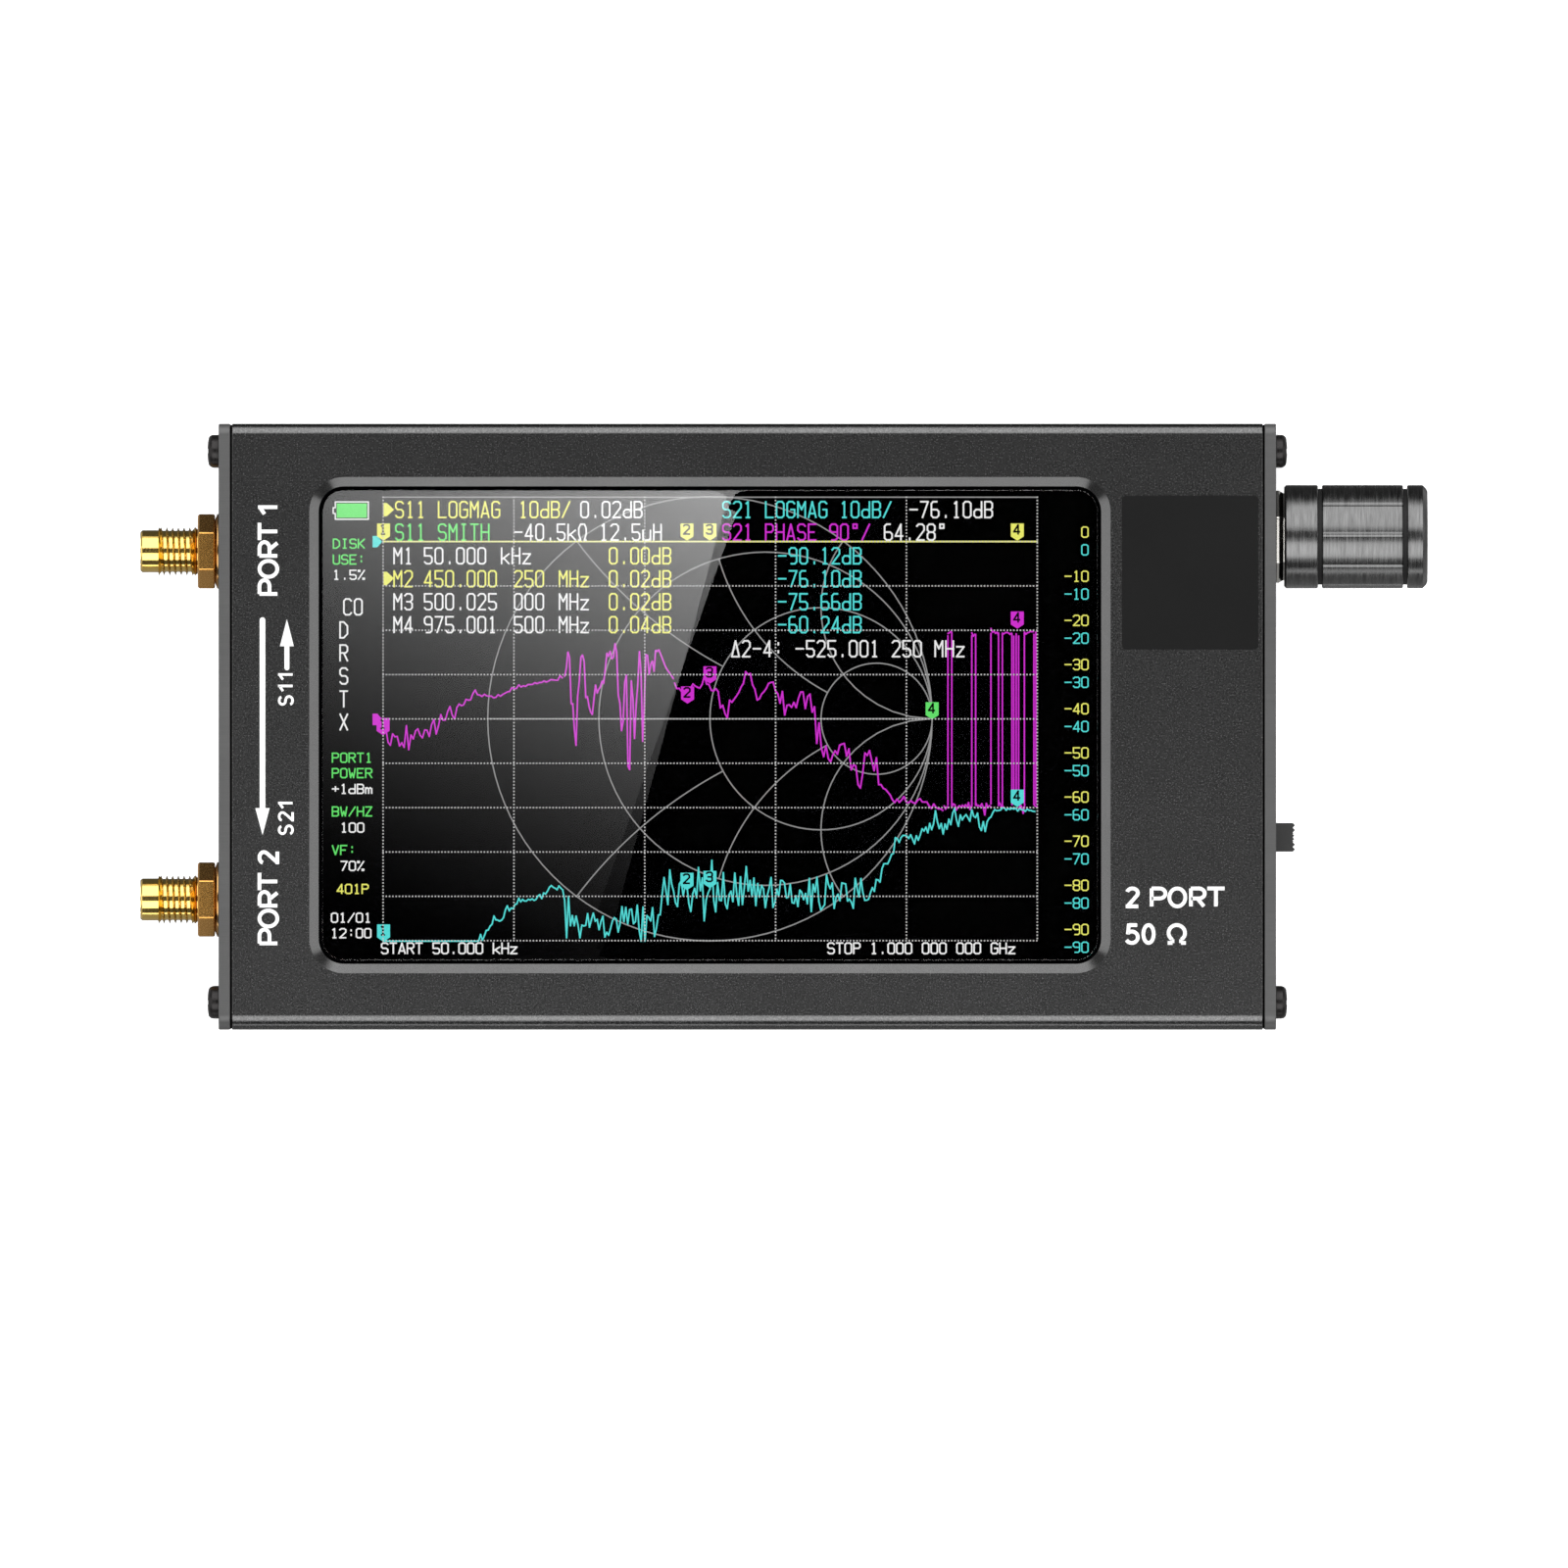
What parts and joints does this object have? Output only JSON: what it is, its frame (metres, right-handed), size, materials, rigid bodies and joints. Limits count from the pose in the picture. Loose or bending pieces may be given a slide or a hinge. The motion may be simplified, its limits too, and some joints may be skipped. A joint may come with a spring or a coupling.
{
  "type": "vector network analyzer",
  "caption": "Handheld two-port vector network analyzer: flat metal case with a large screen, coaxial ports at one end, and a press-and-turn knob and slide switch at the other.",
  "frame": {"origin": "centre of the flat back face of the case", "axes": "+Z is the way the screen faces, +X runs from the two ports to the knob, +Y is the top edge of the screen"},
  "size_m": [0.1584, 0.0746, 0.0221],
  "materials": {
    "anodised_case": "bead-blasted, anodised dark grey",
    "anodised_plate": "anodised grey, brushed edge",
    "black_screw": "black oxide",
    "label_film": "smooth satin film",
    "cover_glass": "polished, black printed border",
    "foam": "closed-cell foam",
    "panel": "lit screen",
    "steel": "plain",
    "tinned_steel": "tinned sheet",
    "flex": "polyimide film over copper",
    "nylon": "natural nylon",
    "circuit_board": "solder mask over glass laminate",
    "epoxy": "moulded epoxy",
    "ferrite": "ferrite and enamel",
    "black_plastic": "moulded",
    "brown_phenolic": "pressed sheet",
    "wire": "insulated wire",
    "pouch": "laminated foil pouch",
    "tape": "double-sided tape",
    "knob_metal": "turned, dark anodised",
    "gold_plate": "gold-plated brass",
    "dark_spring": "blued spring steel",
    "ptfe": "fluoropolymer"
  },
  "bodies": {
    "housing": {"case_extrusion": "anodised_case", "left_end_plate": "anodised_plate", "right_end_plate": "anodised_plate", "left_plate_screws": "black_screw", "right_plate_screws": "black_screw", "front_label": "label_film", "cover_glass": "cover_glass", "display_gasket": "foam", "lcd_panel": "panel", "display_tray": "steel", "display_ribbon": "flex", "display_connector": "nylon", "main_board": "circuit_board", "rf_shield_frame": "tinned_steel", "rf_shield_lid": "tinned_steel", "processor_chip": "epoxy", "memory_chip": "epoxy", "small_chips": "epoxy", "charger_coil": "ferrite", "crystal_oscillator": "tinned_steel", "usb_socket_shell": "tinned_steel", "usb_socket_tongue": "black_plastic", "battery_connector": "nylon", "battery_plug": "nylon", "battery_leads": "wire", "battery_cell": "pouch", "battery_tape": "tape", "power_switch_frame": "steel", "power_switch_base": "brown_phenolic", "encoder_case": "black_plastic", "encoder_bushing": "steel", "encoder_nut": "steel", "encoder_dome": "steel", "encoder_pins": "tinned_steel", "port_1_jack": "gold_plate", "port_1_insulator": "ptfe", "port_1_contact": "gold_plate", "port_1_nut": "gold_plate", "port_1_washer": "dark_spring", "port_2_jack": "gold_plate", "port_2_insulator": "ptfe", "port_2_contact": "gold_plate", "port_2_nut": "gold_plate", "port_2_washer": "dark_spring"},
    "press_stage": {"encoder_plunger": "nylon"},
    "knob": {"encoder_shaft": "steel", "encoder_rotor": "nylon", "control_knob": "knob_metal", "knob_set_screw": "black_screw"},
    "switch_lever": {"power_switch_slider": "black_plastic"}
  },
  "joints": [
    {"name": "knob_press", "type": "slide", "parent": "housing", "child": "press_stage", "axis": [-1, 0, 0], "range_m": [0, 0.0005], "stiffness_N_per_m": 800, "springref_m": -0.002},
    {"name": "knob_turn", "type": "hinge", "parent": "press_stage", "child": "knob", "pos_m": [0.0635, 0.0234, 0.011], "axis": [1, 0, 0], "continuous": true},
    {"name": "power_switch_slide", "type": "slide", "parent": "housing", "child": "switch_lever", "axis": [0, 1, 0], "range_m": [0, 0.002]}
  ]
}
